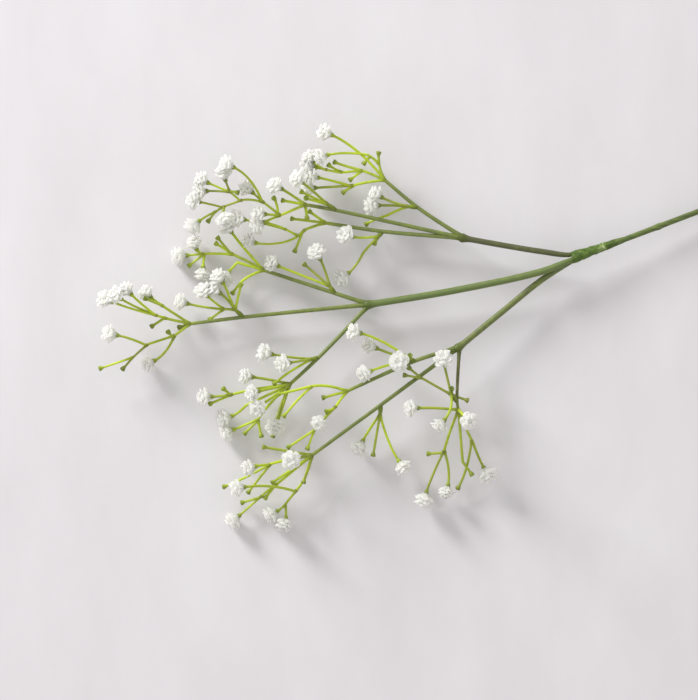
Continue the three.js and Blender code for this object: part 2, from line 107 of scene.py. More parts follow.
CREPE_PACE = (2.4, 4)
THIN_MOUTH = 3.5  # over these stretches the tape thins out at its mouth and at its foot
THIN_FOOT = 6
MOUTH_FILM = 0.15  # the share of its film that the tape keeps at its mouth, and at its foot
FOOT_FILM = 0.06
MOUTH_DEPTHS = (3, 1.2)  # how deep in the mouth the tape's inner rings lie
MOUTH_FIT = 0.98  # and their size, as a share of the bundle's outline
FOOT_OVERRUN = 0.05  # how far past the foot, and how deep in the main stem, the last ring lies
FOOT_SINK = 0.1
GREYING_START = 0.6  # past this share of its length the tape greys towards its foot
TAPE_SIDES = 64
TAPE_ROW = 0.3
HIGHLIGHT_PLACE = 15.5  # a painted highlight, a pale spot on the tape's upper side, lies this far along it
HIGHLIGHT_STRENGTH = 0.9
HIGHLIGHT_LENGTH = 1.8
SHADING_LEVEL = 0.3  # how light the tape is, and how much painted light its raised edges, wrinkle crests and crepe add, with painted shade in the folds between
EDGE_HIGHLIGHT = 0.4
WRINKLE_LIGHT_AND_SHADE = 0.8
CREPE_LIGHT_AND_SHADE = 0.25
RAGGED_MOUTH = 2.4  # how far the tape's mouth comes and goes
RAGGED_LENGTH = 3
BUNDLE_MOUTH = 0.35  # by this share of the tape the stalks have come together
BUNDLE_END = 0.9  # and by this one it lies on the main stem alone
BUNDLE_WEB = 8  # how closely the tape follows the valleys between the stalks
COAT_WAVERS = ((0.05, 0.12, 0), (0.02, 0.6, 5))  # by what share of the radius, how fast, and a seed
LUMP_PLACE = 19  # past the tape
LUMP_HEIGHT = 0.28
LUMP_LENGTH = 1.6
STAIN_LENGTH = 11  # over this stretch past the tape the main stem is stained green

# ---- Layout on the sheet -----------------------------------------------------

Twig = namedtuple("Twig", "kind end turn tilt twigs")
Prong = namedtuple("Prong", "side_root tip side end tone radius", defaults=(0.25, 1.1))
Branch = namedtuple("Branch", "stalk prongs")


def place(across, down, height):
    return Vector((across - ORIGIN_ACROSS, ORIGIN_DOWN - down, height))


def floret(across, down, height, turn=0, tilt=None):
    return Twig("floret", place(across, down, height), turn, tilt, ())


def cup(across, down, height, turn=0, tilt=None):
    return Twig("cup", place(across, down, height), turn, tilt, ())


def fork(across, down, height, turn, *twigs):
    return Twig("fork", place(across, down, height), turn, None, twigs)


TAPE_END = place(286.5, 128.8, 10)
TAPE_START = place(312.5, 119.6, 8.6)
MAIN_STEM_ROUTE = [
    place(330, 113, 7.3), place(348.5, 106, 6), place(380, 94.5, 3.7), place(410, 85.5, 2),
    place(432, 79.5, 1.45), place(466, 71.5, 1.45), place(500, 63.5, 1.45)]

UPPER = Branch(
  stalk=[place(272, 125.7, 10.8), place(255, 123, 11), place(230, 118.5, 11)],
  prongs=[
    Prong(
      side_root=place(209, 103.5, 11.5),
      tip=place(191.5, 89, 12),
      side=fork(203, 102.8, 12.6, 0,
        floret(190, 98, 14.5, -10, 5),
        floret(188.5, 102.5, 11.3, 5, 20),
        fork(193.5, 107.5, 9.5, 5,
          cup(182.5, 112.2, 7.7, 10))),
      end=[
        floret(165, 67, 16.5, 18, 10),
        fork(189.5, 80.5, 13, -15,
          cup(189.5, 75.5, 14, -10),
          fork(184, 77.2, 13.7, 10,
            floret(162.8, 77.6, 16.2, 14, 5),
            cup(181.5, 82, 12.7))),
        fork(180, 84.6, 12.5, 5,
          cup(166.5, 80.5, 12.8, -5),
          fork(170, 86, 12, 0,
            fork(162.5, 84.5, 12, 0,
              floret(156.3, 80.2, 11.8, -15, 15),
              floret(156.6, 83.5, 10.8, 10, 8)),
            cup(163.8, 81.7, 10.5, -10)),
          cup(174.5, 90, 11)),
        fork(175.5, 92.8, 10.5, 8,
          floret(158, 88.3, 11.5, 5, 15),
          cup(171, 96.3, 9),
          floret(156.5, 93.6, 8.6, 0, 0))],
    ),
    Prong(
      side_root=place(168, 105, 14.5),
      tip=place(151.5, 102, 17),
      side=fork(163, 101.5, 15.5, 0,
        floret(150.6, 90.8, 19.5, 5, 40),
        cup(150, 95.5, 18),
        cup(152.5, 99, 21, 0, 40)),
      end=[
        floret(140, 94, 19, 5, 20),
        cup(140.5, 100, 17.5),
        cup(153.5, 109.5, 14),
        fork(139, 108, 16, 0,
          cup(136.5, 98.5, 18.5, 25, 30),
          floret(131.5, 107, 18.5, 0, 20),
          floret(131, 111.5, 15, 5, 10),
          fork(131, 100.5, 17.5, 0,
            floret(116, 83.5, 25.5, 28, 10),
            floret(125.5, 95.5, 16.6, 0, 15),
            fork(120, 100.2, 18, 20,
              fork(114, 95.2, 19.5, 0,
                cup(119.5, 96.5, 21),
                floret(112.5, 89, 22, -5, 20),
                floret(103, 91, 20, 0, 10),
                floret(102.3, 95.6, 20, 5, 10)),
              fork(111, 103.5, 17, 0,
                floret(98.8, 100.8, 18, 5, 35),
                floret(112, 107, 20.5, 15, 25),
                fork(107, 106.5, 15.5, 10,
                  cup(103.5, 111, 14),
                  floret(98.5, 111, 12.5, 10, 0))))))],
    ),
    Prong(
      side_root=place(191.5, 115.5, 11),
      tip=place(161.5, 111, 10),
      side=fork(188.5, 118.8, 9.5, 0,
        floret(175.5, 118, 13, -15, 35),
        fork(181.5, 126.5, 8.5, 5,
          floret(173.5, 137, 7, -15, 5)),
        cup(187, 122, 7.5)),
      end=[
        cup(154, 105, 11),
        cup(145, 109, 10.5),
        fork(151.5, 115, 9.7, 5,
          cup(147, 126, 7),
          fork(148, 118.5, 9.7, 0,
            fork(140, 121.2, 9.5, -10,
              floret(126.8, 121, 11.5, -15, 5)),
            fork(142, 114, 11, 0,
              cup(132, 110.8, 12, 5),
              floret(121.1, 109.5, 12, 5, 25))))],
    ),
  ])

MIDDLE = Branch(
  stalk=[place(272.5, 135.2, 11.4), place(228, 145, 10.4), place(182.5, 152.5, 9.2)],
  prongs=[
    Prong(
      side_root=place(167.5, 146.5, 9),
      tip=place(130.5, 134.5, 7),
      side=fork(164, 142, 10, -10,
        floret(159.5, 128.5, 12.5, 10, 25),
        cup(151.5, 131.5, 12),
        floret(138, 132.5, 10.5, 0, 15)),
      end=[
        fork(118.5, 131, 7.5, 0,
          floret(113.5, 136.5, 7.8, 5, 25)),
        fork(115, 126.5, 6.5, 5,
          cup(108, 118, 7.5),
          cup(107, 121, 6),
          fork(100.5, 126.7, 5.5, 5,
            floret(97.5, 123.5, 6, -20, 10),
            floret(92, 127.5, 4.6, 0, -5),
            floret(101, 134, 4.8, 0, 0),
            cup(93.5, 133, 4))),
        floret(114.9, 115, 9, -5, 30),
        fork(119.3, 142, 7, 20,
          cup(115.5, 147, 6))],
    ),
    Prong(
      side_root=place(121.5, 158.5, 8.5),
      tip=place(93.5, 162, 10.5),
      side=fork(116.5, 154, 10, 0,
        fork(114.5, 148.5, 12, 0,
          floret(110.5, 140.5, 14.5, 15, 15)),
        floret(109, 146, 13, 15, 20),
        cup(120.5, 141.5, 13.5),
        fork(110.5, 154.5, 9, 5,
          floret(92.5, 151.5, 9, -5, 5),
          floret(103, 147.3, 12, -10, 35),
          cup(104, 160, 5.5))),
      end=[
        fork(82, 159, 14, 0,
          cup(75, 163.5, 12.5),
          fork(77.5, 157.5, 16.5, 0,
            floret(65, 146.5, 21, -5, 10),
            floret(60, 149, 22, -10, 40),
            floret(55.3, 150.6, 20, -5, 5))),
        fork(80.5, 152.5, 16, 0,
          cup(72, 149, 19),
          floret(74.5, 148, 14.5, -5, 0)),
        fork(86, 168.5, 10.5, 0,
          cup(83.5, 165.5, 14.5, 0, 30),
          floret(75.8, 180.8, 5.5, -25, 5),
          fork(72.5, 172.5, 12.5, 0,
            floret(57.5, 167.5, 18, 10, 0),
            fork(65.5, 179.5, 12.5, 5,
              cup(60.5, 185, 10.5),
              cup(49, 184.5, 13)))),
        cup(88.5, 163.8, 9)],
    ),
    Prong(
      side_root=place(159, 179, 9),
      tip=place(144, 193, 9.5),
      side=fork(155, 179.7, 10.5, 5,
        floret(135, 177, 16, -5, 10),
        floret(144, 181.5, 20, 0, 30),
        cup(136.5, 192.5, 13, 10)),
      end=[
        floret(125.3, 188.5, 12.5, 5, 15),
        fork(115, 197.5, 9.5, 5,
          cup(111, 194, 11.5),
          floret(104.5, 198.5, 9.5, -5, 5),
          cup(104, 202.3, 6.5)),
        fork(122.5, 203, 8, 0,
          floret(114.5, 208.5, 6, -20, 5)),
        floret(130.8, 202.5, 20, 0, 45),
        floret(128.5, 195.8, 21.5, 0, 30),
        fork(128, 211, 6.5, 10,
          cup(121.5, 217.5, 6),
          floret(115.5, 215.5, 5.5, 0, 0),
          cup(130.5, 219, 5)),
        cup(136, 219, 5),
        floret(138, 211, 11, 10, 40)],
    ),
  ])

LOWER = Branch(
  stalk=[place(272.5, 138.9, 8.5), place(250, 157, 10), place(228, 175, 11.5)],
  prongs=[
    Prong(
      side_root=place(207.5, 180.5, 15.5),
      tip=place(172.5, 196, 20.5),
      side=fork(204, 179.3, 17.5, 0,
        floret(200.5, 180.5, 22, 0, 70),
        floret(187.5, 173.8, 17.5, -5, 5),
        floret(179.5, 166.5, 23, 15, 15),
        floret(184.5, 185.8, 21.5, 5, 25),
        cup(205, 177.5, 21)),
      end=[
        fork(155, 193.3, 24.5, 20,
          cup(138.5, 197.3, 25.5),
          fork(147.5, 201.5, 24.5, 5,
            cup(141.5, 208.5, 23.5))),
        cup(161, 199, 22),
        fork(167.5, 204, 20.5, 5,
          cup(162.5, 206, 21.5),
          floret(160.5, 210.5, 23.5, 0, 60),
          fork(156.5, 215.5, 19.5, 0,
            cup(143.5, 224, 21),
            cup(153.5, 225, 18)))],
    ),
    Prong(
      side_root=place(190.5, 202.5, 11.5),
      tip=place(155, 228.5, 11),
      side=fork(190, 208.5, 10, 0,
        floret(181, 221.5, 6.5, 5, 5),
        cup(186.5, 228.5, 8),
        floret(200, 231.5, 8.5, 12, 5)),
      end=[
        cup(131, 223.5, 14.5),
        fork(134, 232.5, 13, 5,
          floret(127, 233.3, 18, 5, 10),
          cup(111, 244, 7, -5),
          cup(123.5, 247, 9)),
        cup(135.5, 242, 10.5),
        fork(137.5, 243, 7.5, 0,
          cup(132, 250, 5.5),
          fork(130, 249, 6, 5,
            cup(120, 252, 5),
            floret(118.5, 259, 4.6, 0, -5))),
        cup(151.5, 242, 9.5),
        fork(147.5, 246, 9, -20,
          floret(121.5, 243.5, 28, 15, 10),
          fork(141.7, 253.5, 6.5, 0,
            floret(137.5, 256.5, 5.5, -10, 0),
            floret(142.5, 260.5, 5.5, -15, 30))),
        floret(147, 229.5, 24, 0, 65)],
    ),
    Prong(
      side_root=place(228.7, 201, 15),
      tip=place(229.5, 206, 17.5),
      side=fork(225, 196.5, 14, 10,
        floret(222, 181.5, 17.5, 0, 50),
        fork(210, 188.5, 14.5, 0,
          cup(204, 183.5, 15.5),
          cup(201.5, 187.5, 14)),
        cup(226, 194, 17, 0, 60),
        floret(221.5, 210.5, 26, -25, 5),
        cup(234.5, 200.5, 14.5)),
      end=[
        fork(222, 226.5, 11.5, 5,
          cup(213.5, 227.2, 10),
          floret(213, 247.5, 8, 5, 5),
          floret(224, 243.8, 7.4, -20, 10)),
        fork(231.5, 231, 12, 0,
          cup(236.5, 238, 10)),
        fork(236.5, 221, 14, 5,
          floret(242.7, 235, 8, 5, 5),
          cup(229, 245, 5, -15)),
        floret(208, 204, 24, 5, 10),
        floret(233.5, 209.5, 38, 0, 75)],
      tone=0.9,
      radius=0.9,
    ),
  ])

BRANCHES = {"upper": UPPER, "middle": MIDDLE, "lower": LOWER}

# ---- Lines and frames --------------------------------------------------------


def lerp(a, b, share):
    return a + (b - a) * share


def smooth(share):
    share = min(max(share, 0.0), 1.0)
    return share * share * (3 - 2 * share)


def draw(n, kind):
    """A repeatable draw from 0 to 1 for the nth thing of a sort."""
    x = math.sin(n * 12.9898 + kind * 78.233) * 43758.5453
    return x - math.floor(x)


def bend(start, pull, end, step):
    """Points along a twig that leaves start towards pull, and reaches end from pull."""
    rows = max(4, math.ceil((end - start).length / step))
    shares = [i / rows for i in range(rows + 1)]
    return [start.lerp(pull, s).lerp(pull.lerp(end, s), s) for s in shares]


def spline(points, step):
    """Points along one smooth line through the given ones (a centripetal Catmull-Rom spline)."""
    line = [points[0]]
    knots = [2 * points[0] - points[1], *points, 2 * points[-1] - points[-2]]
    for before, start, end, after in zip(knots, knots[1:], knots[2:], knots[3:]):
        span = (end - start).length ** 0.5
        span_before = (start - before).length ** 0.5
        span_after = (after - end).length ** 0.5
        chord = (end - start) / span
        leaving = (start - before) / span_before - (end - before) / (span_before + span) + chord
        arriving = chord - (after - start) / (span + span_after) + (after - end) / span_after
        rows = max(3, math.ceil((end - start).length / step))
        for i in range(1, rows + 1):
            s = i / rows
            line.append((2 * s**3 - 3 * s**2 + 1) * start + (s**3 - 2 * s**2 + s) * span * leaving
                        + (3 * s**2 - 2 * s**3) * end + (s**3 - s**2) * span * arriving)
    return line


def distances(line):
    """How far along the line each of its points is."""
    steps = [0.0] + [(b - a).length for a, b in zip(line, line[1:])]
    return np.cumsum(steps)


def directions(line):
    ahead = [b - a for a, b in zip(line, line[1:])]
    middle = [a.normalized() + b.normalized() for a, b in zip(ahead, ahead[1:])]
    return [d.normalized() for d in [ahead[0], *middle, ahead[-1]]]


def rings_along(line, radii, sides):
    """Rings of points round a line, turned as little as possible from one to the next."""
    alongs = directions(line)
    over = Vector((0, 0, 1)) if abs(alongs[0].z) < 0.9 else Vector((1, 0, 0))
    over = (over - alongs[0] * over.dot(alongs[0])).normalized()
    angles = np.arange(sides) * 2 * math.pi / sides
    rings = []
    for i, (point, along) in enumerate(zip(line, alongs)):
        if i:
            over = alongs[i - 1].rotation_difference(along) @ over
        side = along.cross(over)
        spokes = np.outer(np.cos(angles), over) + np.outer(np.sin(angles), side)
        rings.append(np.array(point) + spokes * np.asarray(radii[i]).reshape(-1, 1))
    return np.array(rings)


def turned(foot, axis, profile, sides):
    """Rings of a part turned about an axis. The profile lists distances along the axis and radii."""
    side = axis.orthogonal().normalized()
    over = axis.cross(side)
    angles = np.arange(sides) * 2 * math.pi / sides
    spokes = np.outer(np.cos(angles), side) + np.outer(np.sin(angles), over)
    return np.array([np.array(foot + axis * distance) + spokes * radius for distance, radius in profile])


# ---- Making pieces -----------------------------------------------------------


class Moulding:
    """Closed skins in millimetres, with marks for the material at each point, that become one piece."""

    def __init__(self):
        self.points = []
        self.faces = []
        self.marks = []
        self.size = 0

    def skin(self, rings, *marks):
        """Skins a stack of rings and closes its ends. Each mark has one value for each ring."""
        rows, sides, _ = rings.shape
        index = self.size + np.arange(rows * sides).reshape(rows, sides)
        near, far = index[:-1], index[1:]
        quads = np.stack([near, np.roll(near, -1, 1), np.roll(far, -1, 1), far], axis=-1)
        self.faces += quads.reshape(-1, 4).tolist()
        self.faces += [index[0][::-1].tolist(), index[-1].tolist()]
        self.points.append(rings.reshape(-1, 3))
        spread = [np.repeat(np.broadcast_to(mark, rows), sides) for mark in marks]
        self.marks.append(np.stack(spread, axis=-1))
        self.size += rows * sides

    def piece(self, name, material, mark_names, crease=50):
        """The finished mesh, riding with the stem. Edges sharper than the crease stay sharp."""
        points = np.concatenate(self.points)
        points[:, 2] = np.maximum(points[:, 2], 0)
        mesh = bpy.data.meshes.new(name)
        mesh.from_pydata((points * MM).tolist(), [], self.faces)
        tidy = bmesh.new()
        tidy.from_mesh(mesh)
        bmesh.ops.recalc_face_normals(tidy, faces=tidy.faces)
        tidy.to_mesh(mesh)
        tidy.free()
        marks = np.concatenate(self.marks)
        for column, mark_name in enumerate(mark_names):
            attribute = mesh.attributes.new(mark_name, "FLOAT", "POINT")
            attribute.data.foreach_set("value", marks[:, column].astype(np.float32))
        mesh.shade_smooth()
        mesh.set_sharp_from_angle(angle=math.radians(crease))
        mesh.materials.append(material)
        thing = bpy.data.objects.new(name, mesh)
        bpy.context.scene.collection.objects.link(thing)
        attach(thing, "root")
        return thing


# ---- Materials ---------------------------------------------------------------


def linear(hex_colour):
    """An sRGB hex colour as linear red, green, blue and alpha."""
    channels = [int(hex_colour[i:i + 2], 16) / 255 for i in (1, 3, 5)]
    return [c / 12.92 if c <= 0.04045 else ((c + 0.055) / 1.055) ** 2.4 for c in channels] + [1.0]


def node(tree, kind, settings=None, stops=(), **inputs):
    """Adds one node with its settings and links. Inputs are named by their sockets, with _ for a space or
    before a socket's number, and hold values or other sockets. Stops are a ramp's places and colours."""
    made = tree.nodes.new(kind)
    for name, value in (settings or {}).items():
        setattr(made, name, value)
    for _ in stops[2:]:
        made.color_ramp.elements.new(1.0)
    for number, (at, hex_colour) in enumerate(stops):
        made.color_ramp.elements[number].position = at
        made.color_ramp.elements[number].color = linear(hex_colour)
    for name, value in inputs.items():
        socket = made.inputs[int(name[1:])] if name[0] == "_" else made.inputs[name.replace("_", " ")]
        if isinstance(value, bpy.types.NodeSocket):
            tree.links.new(value, socket)
        else:
            socket.default_value = value
    return made


def new_material(name):
    material = bpy.data.materials.new(name)
    material.use_nodes = True
    material.node_tree.nodes.clear()
    return material, material.node_tree


def size_of_pattern(millimetres):
    """The noise scale at which one blotch is about this large, on objects measured in metres."""
    return 1 / (millimetres * MM)


def moulded_polyethylene():
    """Soft injection-moulded polyethylene: waxy, a little translucent, yellow-green where it is thin and dark
    where it is thick. The stalks are sprayed over with olive, which wears off in blotches. The mould's fine
    pits are drawn coarser, 0.8 mm wide, so that they show."""
    material, tree = new_material("Moulded polyethylene, yellow-green with olive overspray")
    coordinates = node(tree, "ShaderNodeTexCoord").outputs["Object"]
    growth = node(tree, "ShaderNodeAttribute", {"attribute_name": "growth"}).outputs["Fac"]
    tone = node(tree, "ShaderNodeAttribute", {"attribute_name": "tone"}).outputs["Fac"]
    knot = node(tree, "ShaderNodeAttribute", {"attribute_name": "knot"}).outputs["Fac"]
    blotches = node(tree, "ShaderNodeTexNoise", Vector=coordinates, Scale=size_of_pattern(3), Detail=3.0)
    shifted = node(tree, "ShaderNodeMapRange", Value=blotches.outputs["Fac"], From_Min=0.3, From_Max=0.7,
                   To_Min=-0.08, To_Max=0.08)
    place_on_ramp = node(tree, "ShaderNodeMath", {"operation": "ADD", "use_clamp": True},
                         _0=growth, _1=shifted.outputs["Result"])
    fresh = node(tree, "ShaderNodeValToRGB", Fac=place_on_ramp.outputs["Value"], stops=(
        (0.0, "#6e8146"), (0.2, "#889648"), (0.4, "#a2b632"), (0.6, "#c8dd2c"), (0.8, "#bdd130"),
        (1.0, "#a0b438")))
    dull = node(tree, "ShaderNodeValToRGB", Fac=place_on_ramp.outputs["Value"], stops=(
        (0.0, "#544f3b"), (0.25, "#757c40"), (0.6, "#9aa63e"), (1.0, "#818d3c")))
    body = node(tree, "ShaderNodeMix", {"data_type": "RGBA"}, _0=tone, _6=fresh.outputs["Color"],
                _7=dull.outputs["Color"])
    colour = node(tree, "ShaderNodeMix", {"data_type": "RGBA"}, _0=knot, _6=body.outputs[2],
                  _7=linear("#4f5f10"))
    pits = node(tree, "ShaderNodeTexNoise", Vector=coordinates, Scale=size_of_pattern(0.8), Detail=2.0)
    roughness = node(tree, "ShaderNodeMapRange", Value=blotches.outputs["Fac"], To_Min=0.42, To_Max=0.58)
    relief = node(tree, "ShaderNodeBump", Height=pits.outputs["Fac"], Strength=0.25, Distance=0.00012)
    surface = node(tree, "ShaderNodeBsdfPrincipled", Base_Color=colour.outputs[2],
                   Roughness=roughness.outputs["Result"], IOR=1.45, Subsurface_Weight=0.3,
                   Subsurface_Radius=(0.9, 1.0, 0.1), Subsurface_Scale=0.0016,
                   Normal=relief.outputs["Normal"])
    node(tree, "ShaderNodeOutputMaterial", Surface=surface.outputs["BSDF"])
    return material


def coated_stem():
    """A stem dipped in olive plastic: satin, with faint lengthwise streaks and small bumps. Green comes off
    the tape onto its first stretch."""
    material, tree = new_material("Dipped plastic coating, olive green")
    coordinates = node(tree, "ShaderNodeTexCoord").outputs["Object"]
    stain = node(tree, "ShaderNodeAttribute", {"attribute_name": "stain"}).outputs["Fac"]
    stretched = node(tree, "ShaderNodeMapping", Vector=coordinates, Scale=(0.15, 1.0, 1.0),
                     Rotation=(0.0, 0.0, math.radians(-17)))
    streaks = node(tree, "ShaderNodeTexNoise", Vector=stretched.outputs["Vector"], Scale=size_of_pattern(1.2),
                   Detail=4.0)
    olive = node(tree, "ShaderNodeValToRGB", Fac=streaks.outputs["Fac"], stops=(
        (0.3, "#4d592b"), (0.48, "#5c6b31"), (0.6, "#6a7b3a"), (0.75, "#7c8c4c")))
    green = node(tree, "ShaderNodeValToRGB", Fac=streaks.outputs["Fac"], stops=(
        (0.3, "#435728"), (0.55, "#566a33"), (0.75, "#6e804b")))
    colour = node(tree, "ShaderNodeMix", {"data_type": "RGBA"}, _0=stain, _6=olive.outputs["Color"],
                  _7=green.outputs["Color"])
    bumps = node(tree, "ShaderNodeTexNoise", Vector=coordinates, Scale=size_of_pattern(1.5), Detail=3.0)
    relief = node(tree, "ShaderNodeBump", Height=bumps.outputs["Fac"], Strength=0.35, Distance=0.0003)
    roughness = node(tree, "ShaderNodeMapRange", Value=streaks.outputs["Fac"], To_Min=0.42, To_Max=0.62)
    surface = node(tree, "ShaderNodeBsdfPrincipled", Base_Color=colour.outputs[2],
                   Roughness=roughness.outputs["Result"], IOR=1.5, Normal=relief.outputs["Normal"])
    node(tree, "ShaderNodeOutputMaterial", Surface=surface.outputs["BSDF"])
    return material


def crepe_tape():
    """Florist's tape: waxed crepe paper, stretched as it is wound. Its colour carries painted light and
    shade: it is darker in its folds and lighter where it stands higher, on its turns' edges and its wrinkles'
    crests, and it has a painted highlight on its upper side. Its creases are drawn coarser, 0.45 mm apart, so
    that they show."""
    material, tree = new_material("Waxed crepe paper, leaf green")
    coordinates = node(tree, "ShaderNodeTexCoord").outputs["Object"]
    painted_light_and_shade = node(tree, "ShaderNodeAttribute", {"attribute_name": "painted_light_and_shade"}).outputs["Fac"]
    greying = node(tree, "ShaderNodeAttribute", {"attribute_name": "greying"}).outputs["Fac"]
    patches = node(tree, "ShaderNodeTexNoise", Vector=coordinates, Scale=size_of_pattern(2.2), Detail=4.0)
    mixed = node(tree, "ShaderNodeMix", {"data_type": "FLOAT"}, _0=0.45, _2=patches.outputs["Fac"], _3=painted_light_and_shade)
    # Painted highlight: the near-white top stop is reached only at the pale spot on the tape's upper side.
    fresh = node(tree, "ShaderNodeValToRGB", Fac=mixed.outputs[0], stops=(
        (0.2, "#30430f"), (0.42, "#465e1c"), (0.6, "#587229"), (0.74, "#71883f"), (0.88, "#b6c192")))
    dull = node(tree, "ShaderNodeValToRGB", Fac=mixed.outputs[0], stops=(
        (0.2, "#424f1f"), (0.5, "#586730"), (0.8, "#6e7f44"), (0.95, "#93a070")))
    colour = node(tree, "ShaderNodeMix", {"data_type": "RGBA"}, _0=greying, _6=fresh.outputs["Color"],
                  _7=dull.outputs["Color"])
    crepe = node(tree, "ShaderNodeTexNoise", Vector=coordinates, Scale=size_of_pattern(0.45), Detail=3.0)
    relief = node(tree, "ShaderNodeBump", Height=crepe.outputs["Fac"], Strength=0.6, Distance=0.0002)
    surface = node(tree, "ShaderNodeBsdfPrincipled", Base_Color=colour.outputs[2], Roughness=0.72, IOR=1.45,
                   Subsurface_Weight=0.08, Subsurface_Radius=(0.6, 1.0, 0.3), Subsurface_Scale=0.0006,
                   Normal=relief.outputs["Normal"])
    node(tree, "ShaderNodeOutputMaterial", Surface=surface.outputs["BSDF"])
    return material


def white_petal_film():
    """Petals pressed from soft white polyethylene film: matt, light seeps all through them, and their heart
    is greener and darker: partly the cup showing through, partly painted shade in the floret's sunken heart.
    The film's grain is drawn coarser, 0.9 mm wide, so that it shows."""
    material, tree = new_material("Pressed polyethylene film, white")
    coordinates = node(tree, "ShaderNodeTexCoord").outputs["Object"]
    outward = node(tree, "ShaderNodeAttribute", {"attribute_name": "outward"}).outputs["Fac"]
    # Painted shade: the petals turn darker and greener towards the floret's heart, partly the cup's green
    # showing through.
    colour = node(tree, "ShaderNodeValToRGB", Fac=outward, stops=(
        (0.0, "#e6ecce"), (0.16, "#f3f6e8"), (0.34, "#fcfcf8"), (1.0, "#fdfdfa")))
    grain = node(tree, "ShaderNodeTexNoise", Vector=coordinates, Scale=size_of_pattern(0.9), Detail=2.0)
    relief = node(tree, "ShaderNodeBump", Height=grain.outputs["Fac"], Strength=0.2, Distance=0.0001)
    surface = node(tree, "ShaderNodeBsdfPrincipled", Base_Color=colour.outputs["Color"], Roughness=0.6,
                   IOR=1.49, Subsurface_Weight=0.9, Subsurface_Radius=(1.0, 1.0, 0.9), Subsurface_Scale=0.002,
                   Normal=relief.outputs["Normal"])
    glow = node(tree, "ShaderNodeBsdfTranslucent", Color=colour.outputs["Color"],
                Normal=relief.outputs["Normal"])
    film = node(tree, "ShaderNodeMixShader", _0=0.6, _1=surface.outputs["BSDF"], _2=glow.outputs["BSDF"])
    node(tree, "ShaderNodeOutputMaterial", Surface=film.outputs["Shader"])
    return material


def painted_table():
    """A brushed off-white paint, matt, with very faint strokes."""
    material, tree = new_material("Brushed emulsion paint, off-white")
    coordinates = node(tree, "ShaderNodeTexCoord").outputs["Object"]
    strokes = node(tree, "ShaderNodeMapping", Vector=coordinates, Scale=(1.0, 0.45, 1.0),
                   Rotation=(0.0, 0.0, math.radians(35)))
    clouds = node(tree, "ShaderNodeTexNoise", Vector=strokes.outputs["Vector"], Scale=size_of_pattern(45),
                  Detail=5.0, Roughness=0.55)
    colour = node(tree, "ShaderNodeValToRGB", Fac=clouds.outputs["Fac"], stops=(
        (0.3, "#dedbdc"), (0.7, "#e5e3e4")))
    relief = node(tree, "ShaderNodeBump", Height=clouds.outputs["Fac"], Strength=0.2, Distance=0.0004)
    surface = node(tree, "ShaderNodeBsdfPrincipled", Base_Color=colour.outputs["Color"], Roughness=0.85,
                   Normal=relief.outputs["Normal"])
    node(tree, "ShaderNodeOutputMaterial", Surface=surface.outputs["BSDF"])
    return material


# ---- Branches ----------------------------------------------------------------

# Growth is a place on the branch material's ramps, from the stalk at 0 to a cup's rim at 1.
STALK_GROWTHS = {"upper": 0.0, "middle": 0.0, "lower": 0.08}
PRONG_GROWTH = 0.12
PRONG_TIP_GROWTH = 0.36
STUB_GROWTH = 0.35
TWIG_ROOT_GROWTH = 0.47
TWIG_MIDDLE_GROWTH = 0.59
NECK_GROWTH = 0.82
BELL_GROWTH = 0.93
CUP_GROWTH = 1.0

# Tone goes from fresh green at 0 to dull olive at 1.
STALK_TONES = {"upper": 0.75, "middle": 0.12, "lower": 0.42}
STUB_TONE = 0.2
TWIG_TONE = 0.9  # the dullest twig of a fresh prong
TWIG_TONE_BIAS = 1.6  # above 1, most twigs are fresh
TWIG_DULLING = 0.4  # how much of its prong's olive a twig takes on

# Knot is how far the dark green of a thick place covers the rest.
KNOB_KNOT = 0.85
RUBBED_KNOT = 0.5
RUBBED_LENGTH = 4  # green that came off the tape fades out over this stretch
PRONG_ROOT_KNOT = 0.8
STUB_END_KNOT = 0.2
TWIG_ROOT_KNOT = 0.35
CUP_KNOTS = (0.15, 0.75)  # the least and the most that a cup's rim has


def end_direction(start, twig):
    """The direction in which a twig ends: its straight line, swung by its turn and set to its tilt."""
    chord = (twig.end - start).normalized()
    heading = math.atan2(chord.y, chord.x) + math.radians(twig.turn)
    tilt = math.asin(chord.z) if twig.tilt is None else math.radians(twig.tilt)
    return Vector((math.cos(heading) * math.cos(tilt), math.sin(heading) * math.cos(tilt), math.sin(tilt)))


class Run:
    """One unbroken rod of a moulding: it goes on through the first twig of each fork that it meets. Its
    dullness comes from the prong that it grows on."""

    def __init__(self, fork_point, parent_direction, depth, number, dullness):
        self.line = [fork_point - parent_direction * ROOT_SINK]
        self.stations = [(0.0, twig_radius(depth))]
        self.dullness = dullness
        self.tone = min(draw(number, 3) ** TWIG_TONE_BIAS * TWIG_TONE + dullness, 1.0)
        self.cup_knot = lerp(*CUP_KNOTS, draw(number, 8))

    def grow(self, pull, end, radius):
        self.line += bend(self.line[-1], pull, end, ROW_STEP)[1:]
        self.stations.append((distances(self.line)[-1], radius))


def twig_radius(depth):
    return TWIG_RADII[min(depth, len(TWIG_RADII) - 1)]


# A cup's profile: the distance along its axis from the plane of its rim, and the radius there.
CUP_OUTSIDE = (
    (-2.7, 0.46), (-2.45, 0.6), (-2.1, 0.79), (-1.7, 1.0), (-1.2, 1.19), (-0.7, 1.31), (-0.25, 1.34))
CUP_LIP = ((-0.06, 1.28), (0.0, 1.18), (-0.06, 1.06))
CUP_HOLLOW = ((-0.4, 0.75), (-0.55, 0.45), (-0.5, 0.3))
CUP_NUB = ((-0.3, 0.27), (0.1, 0.23), (0.2, 0.12))


def add_cup(branch, end, direction, bare, tone, knot):
    """A bell-shaped cup with a rounded lip. A bare one shows the nub that a floret would be pressed onto."""
    profile = CUP_OUTSIDE + CUP_LIP + CUP_HOLLOW + (CUP_NUB if bare else ())
    ways = [distance for distance, radius in profile]
    growth = np.interp(ways, [-2.6, -1.4, 0], [NECK_GROWTH, BELL_GROWTH, CUP_GROWTH])
    knots = np.interp(ways, [-2, 0], [0, knot])
    branch.skin(turned(end, direction, profile, CUP_SIDES), growth, tone, knots)


